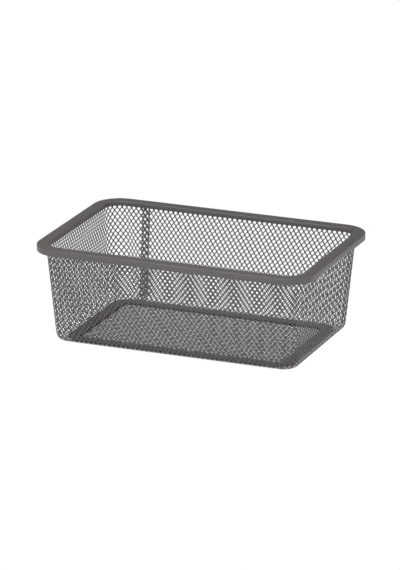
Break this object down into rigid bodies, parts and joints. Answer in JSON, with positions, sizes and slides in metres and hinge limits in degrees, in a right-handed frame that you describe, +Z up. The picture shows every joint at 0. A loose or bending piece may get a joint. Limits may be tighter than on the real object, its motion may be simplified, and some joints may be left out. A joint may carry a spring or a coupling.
{
  "type": "wire mesh storage basket",
  "caption": "Open rectangular storage basket of powder-coated expanded steel mesh with a flat pressed rim, tapered walls, round corners and a flat band round the mesh floor.",
  "frame": {"origin": "on the ground under the middle of the basket", "axes": "+X along the long side, +Y to the back wall where the mesh strip laps, +Z up through the open mouth"},
  "size_m": [0.42, 0.28, 0.144],
  "materials": {
    "sheet_coat": "satin warm grey powder coat on pressed steel sheet",
    "mesh_coat": "satin warm grey powder coat on expanded steel mesh"
  },
  "bodies": {
    "root": {"rim": "sheet_coat", "wall_front": "mesh_coat", "wall_back": "mesh_coat", "wall_left": "mesh_coat", "wall_right": "mesh_coat", "wall_corner_front_left": "mesh_coat", "wall_corner_front_right": "mesh_coat", "wall_corner_back_left": "mesh_coat", "wall_corner_back_right": "mesh_coat", "wall_lap": "mesh_coat", "floor_mesh": "mesh_coat", "floor_band": "sheet_coat"}
  },
  "joints": []
}
